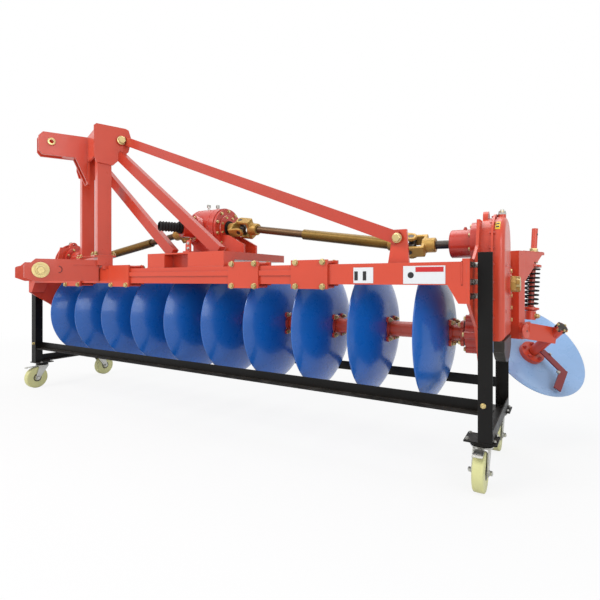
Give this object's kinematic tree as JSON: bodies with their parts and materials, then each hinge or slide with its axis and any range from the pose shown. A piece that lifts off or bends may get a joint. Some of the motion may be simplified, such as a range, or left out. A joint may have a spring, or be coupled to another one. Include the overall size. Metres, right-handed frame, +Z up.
{
  "type": "mounted driven disc harrow",
  "caption": "Three-point mounted disc harrow with a shaft-driven gang of dished discs, end gear cases and a sprung furrow wheel, parked on a caster trolley.",
  "frame": {"origin": "middle of the footprint of the whole machine and trolley, on the floor", "axes": "+X along the disc axle towards the furrow wheel, -Y towards the tractor, +Z up"},
  "size_m": [3.7388, 1.601, 1.856],
  "materials": {
    "red_paint": "gloss",
    "blue_paint": "gloss",
    "black_paint": "satin",
    "yellow_zinc": "satin",
    "white_zinc": "satin",
    "dark_steel": "satin",
    "rubber": "matte",
    "cream_nylon": "satin"
  },
  "bodies": {
    "frame": {"beam_clamps": "red_paint", "bearing_housings": "red_paint", "brace_far": "red_paint", "brace_long": "red_paint", "brace_lug": "red_paint", "brace_near": "red_paint", "case_covers": "red_paint", "case_guards": "black_paint", "case_nuts": "yellow_zinc", "caster_mounts": "white_zinc", "drive_crosses": "dark_steel", "drive_inner_tubes": "yellow_zinc", "drive_outer_tubes": "yellow_zinc", "drive_stubs": "dark_steel", "drive_yokes": "yellow_zinc", "gear_cases": "red_paint", "gearbox_housing": "red_paint", "gearbox_platform": "red_paint", "gearbox_seals": "rubber", "gearbox_webs": "red_paint", "hitch_arms": "red_paint", "hitch_crossbar": "red_paint", "input_housings": "red_paint", "lower_hitch_pins": "yellow_zinc", "main_beam": "red_paint", "mast_head": "red_paint", "mast_plates": "red_paint", "mast_uprights": "red_paint", "post_spacers": "white_zinc", "pto_boot": "rubber", "pto_input_shaft": "dark_steel", "side_plates": "red_paint", "tail_post": "red_paint", "tail_scraper": "red_paint", "tail_spring": "black_paint", "tail_spring_rod": "red_paint", "tail_swing_arm": "red_paint", "top_link_ears": "red_paint", "trolley_posts": "black_paint", "trolley_rails": "black_paint", "trolley_sills": "black_paint"},
    "gang": {"gang_axle": "red_paint", "gang_discs": "blue_paint", "gang_hubs": "red_paint"},
    "furrow_wheel": {"tail_hub": "red_paint", "tail_disc": "blue_paint"},
    "caster_swivel_near_left": {"caster_fork_near_left": "white_zinc"},
    "caster_roller_near_left": {"caster_wheel_near_left": "cream_nylon"},
    "caster_swivel_near_right": {"caster_fork_near_right": "white_zinc"},
    "caster_roller_near_right": {"caster_wheel_near_right": "cream_nylon"},
    "caster_swivel_far_left": {"caster_fork_far_left": "white_zinc"},
    "caster_roller_far_left": {"caster_wheel_far_left": "cream_nylon"},
    "caster_swivel_far_right": {"caster_fork_far_right": "white_zinc"},
    "caster_roller_far_right": {"caster_wheel_far_right": "cream_nylon"}
  },
  "joints": [
    {"name": "gang_spin", "type": "hinge", "parent": "frame", "child": "gang", "pos_m": [-0.13337, -0.04702, 0.59], "axis": [1, 0, 0], "continuous": true},
    {"name": "furrow_wheel_spin", "type": "hinge", "parent": "frame", "child": "furrow_wheel", "pos_m": [1.6055, 0.59181, 0.41612], "axis": [0.5602, -0.5352, 0.6322], "continuous": true},
    {"name": "caster_swivel_near_left", "type": "hinge", "parent": "frame", "child": "caster_swivel_near_left", "pos_m": [-1.74937, -0.29302, 0.17], "axis": [0, 0, 1], "continuous": true},
    {"name": "caster_roll_near_left", "type": "hinge", "parent": "caster_swivel_near_left", "child": "caster_roller_near_left", "pos_m": [-1.74937, -0.33902, 0.079], "axis": [1, 0, 0], "continuous": true},
    {"name": "caster_swivel_near_right", "type": "hinge", "parent": "frame", "child": "caster_swivel_near_right", "pos_m": [1.48263, -0.29302, 0.17], "axis": [0, 0, 1], "continuous": true},
    {"name": "caster_roll_near_right", "type": "hinge", "parent": "caster_swivel_near_right", "child": "caster_roller_near_right", "pos_m": [1.48263, -0.33902, 0.079], "axis": [1, 0, 0], "continuous": true},
    {"name": "caster_swivel_far_left", "type": "hinge", "parent": "frame", "child": "caster_swivel_far_left", "pos_m": [-1.74937, 0.19898, 0.17], "axis": [0, 0, 1], "continuous": true},
    {"name": "caster_roll_far_left", "type": "hinge", "parent": "caster_swivel_far_left", "child": "caster_roller_far_left", "pos_m": [-1.74937, 0.24498, 0.079], "axis": [1, 0, 0], "continuous": true},
    {"name": "caster_swivel_far_right", "type": "hinge", "parent": "frame", "child": "caster_swivel_far_right", "pos_m": [1.48263, 0.19898, 0.17], "axis": [0, 0, 1], "continuous": true},
    {"name": "caster_roll_far_right", "type": "hinge", "parent": "caster_swivel_far_right", "child": "caster_roller_far_right", "pos_m": [1.48263, 0.15298, 0.079], "axis": [1, 0, 0], "continuous": true}
  ]
}
